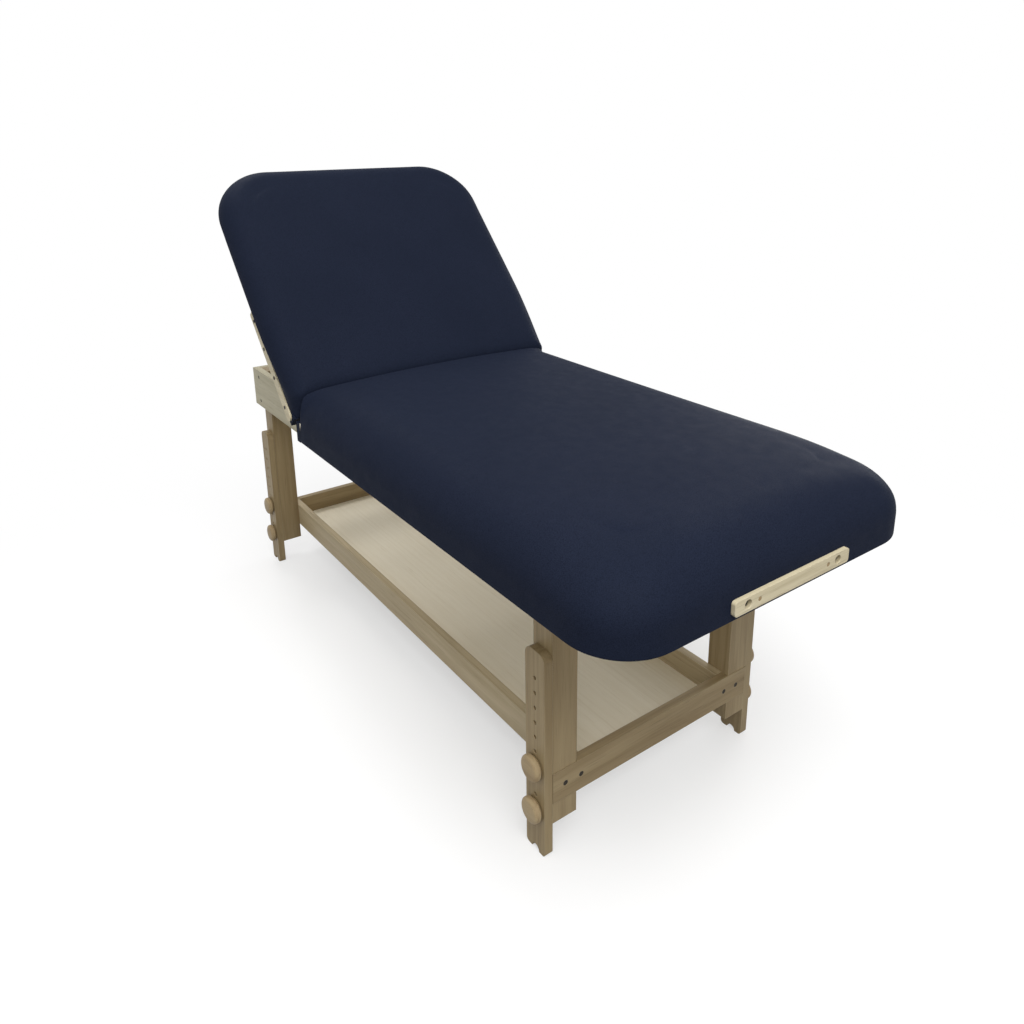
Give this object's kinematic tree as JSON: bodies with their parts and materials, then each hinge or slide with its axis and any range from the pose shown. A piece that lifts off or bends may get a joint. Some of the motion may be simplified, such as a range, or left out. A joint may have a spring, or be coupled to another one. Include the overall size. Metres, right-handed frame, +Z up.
{
  "type": "massage table",
  "caption": "Stationary massage table: padded vinyl lift-back top on a wooden base with sliding height-adjustable legs, clamp knobs, a storage tray and face-rest outlets.",
  "frame": {"origin": "on the floor, under the middle of the whole table", "axes": "+X to the foot end, +Y to the right as seen from the foot end, +Z up"},
  "size_m": [1.7626, 0.775, 1.2216],
  "materials": {
    "vinyl": "soft navy vinyl, fine grain",
    "foam": "open-cell polyurethane foam",
    "leg_wood": "washed maple, satin",
    "knob_wood": "turned maple, satin",
    "pale_wood": "pale maple, satin",
    "plywood": "birch plywood, satin",
    "plated_steel": "zinc plated",
    "dark_steel": "black oxide"
  },
  "bodies": {
    "base": {"side_rail_left": "pale_wood", "side_rail_right": "pale_wood", "head_cross_rail": "pale_wood", "foot_cross_rail": "pale_wood", "hinge_cross_rail": "pale_wood", "frame_bolts": "dark_steel", "tray_side_rail_left": "leg_wood", "tray_side_rail_right": "leg_wood", "tray_end_rail_head": "leg_wood", "tray_end_rail_foot": "leg_wood", "tray_floor": "plywood", "tray_bolts": "dark_steel", "notched_rack_left": "pale_wood", "notched_rack_right": "pale_wood", "main_deck": "plywood", "main_edge_frame": "pale_wood", "main_foam": "foam", "main_cover": "vinyl", "main_deck_screws": "dark_steel", "hinge_leaf_main": "plated_steel", "hinge_pin": "plated_steel", "outlet_bar": "pale_wood", "outlet_block": "pale_wood", "outlet_screws": "dark_steel", "leg_post_foot_left": "leg_wood", "leg_post_foot_right": "leg_wood", "leg_post_head_left": "leg_wood", "leg_post_head_right": "leg_wood"},
    "backrest": {"backrest_deck": "plywood", "backrest_edge_frame": "pale_wood", "backrest_foam": "foam", "backrest_cover": "vinyl", "hinge_leaf_backrest": "plated_steel", "backrest_hinge_screws": "dark_steel", "side_bar_left": "pale_wood", "side_bar_right": "pale_wood", "side_bar_bolts": "dark_steel", "prop_bracket_left": "plated_steel", "prop_bracket_right": "plated_steel", "prop_pins": "plated_steel"},
    "prop": {"prop_arm_left": "pale_wood", "prop_arm_right": "pale_wood", "prop_cross_bar": "plated_steel"},
    "leg_foot_left": {"leg_extension_foot_left": "leg_wood", "clamp_bolts_foot_left": "dark_steel"},
    "knob_lower_foot_left": {"knob_lower_foot_left": "knob_wood"},
    "knob_upper_foot_left": {"knob_upper_foot_left": "knob_wood"},
    "leg_foot_right": {"leg_extension_foot_right": "leg_wood", "clamp_bolts_foot_right": "dark_steel"},
    "knob_lower_foot_right": {"knob_lower_foot_right": "knob_wood"},
    "knob_upper_foot_right": {"knob_upper_foot_right": "knob_wood"},
    "leg_head_left": {"leg_extension_head_left": "leg_wood", "clamp_bolts_head_left": "dark_steel"},
    "knob_lower_head_left": {"knob_lower_head_left": "knob_wood"},
    "knob_upper_head_left": {"knob_upper_head_left": "knob_wood"},
    "leg_head_right": {"leg_extension_head_right": "leg_wood", "clamp_bolts_head_right": "dark_steel"},
    "knob_lower_head_right": {"knob_lower_head_right": "knob_wood"},
    "knob_upper_head_right": {"knob_upper_head_right": "knob_wood"}
  },
  "joints": [
    {"name": "backrest_lift", "type": "hinge", "parent": "base", "child": "backrest", "pos_m": [-0.29425, 0, 0.65], "axis": [0, 1, 0], "range_deg": [-47.5, 12.5]},
    {"name": "prop_fold", "type": "hinge", "parent": "backrest", "child": "prop", "pos_m": [-0.47998, 0, 0.80533], "axis": [0, 1, 0], "range_deg": [-25.5, 95.5]},
    {"name": "leg_slide_foot_left", "type": "slide", "parent": "base", "child": "leg_foot_left", "axis": [0, 0, 1], "range_m": [-0.09525, 0]},
    {"name": "knob_turn_lower_foot_left", "type": "hinge", "parent": "leg_foot_left", "child": "knob_lower_foot_left", "pos_m": [0.56625, -0.2995, 0.0963], "axis": [0, -1, 0], "continuous": true},
    {"name": "knob_turn_upper_foot_left", "type": "hinge", "parent": "leg_foot_left", "child": "knob_upper_foot_left", "pos_m": [0.56625, -0.2995, 0.19155], "axis": [0, -1, 0], "continuous": true},
    {"name": "leg_slide_foot_right", "type": "slide", "parent": "base", "child": "leg_foot_right", "axis": [0, 0, 1], "range_m": [-0.09525, 0]},
    {"name": "knob_turn_lower_foot_right", "type": "hinge", "parent": "leg_foot_right", "child": "knob_lower_foot_right", "pos_m": [0.56625, 0.2995, 0.0963], "axis": [0, 1, 0], "continuous": true},
    {"name": "knob_turn_upper_foot_right", "type": "hinge", "parent": "leg_foot_right", "child": "knob_upper_foot_right", "pos_m": [0.56625, 0.2995, 0.19155], "axis": [0, 1, 0], "continuous": true},
    {"name": "leg_slide_head_left", "type": "slide", "parent": "base", "child": "leg_head_left", "axis": [0, 0, 1], "range_m": [-0.09525, 0]},
    {"name": "knob_turn_lower_head_left", "type": "hinge", "parent": "leg_head_left", "child": "knob_lower_head_left", "pos_m": [-0.83375, -0.2995, 0.0963], "axis": [0, -1, 0], "continuous": true},
    {"name": "knob_turn_upper_head_left", "type": "hinge", "parent": "leg_head_left", "child": "knob_upper_head_left", "pos_m": [-0.83375, -0.2995, 0.19155], "axis": [0, -1, 0], "continuous": true},
    {"name": "leg_slide_head_right", "type": "slide", "parent": "base", "child": "leg_head_right", "axis": [0, 0, 1], "range_m": [-0.09525, 0]},
    {"name": "knob_turn_lower_head_right", "type": "hinge", "parent": "leg_head_right", "child": "knob_lower_head_right", "pos_m": [-0.83375, 0.2995, 0.0963], "axis": [0, 1, 0], "continuous": true},
    {"name": "knob_turn_upper_head_right", "type": "hinge", "parent": "leg_head_right", "child": "knob_upper_head_right", "pos_m": [-0.83375, 0.2995, 0.19155], "axis": [0, 1, 0], "continuous": true}
  ],
  "couplings": [
    {"joint": "prop_fold", "follows": "backrest_lift", "ratio": -2}
  ]
}
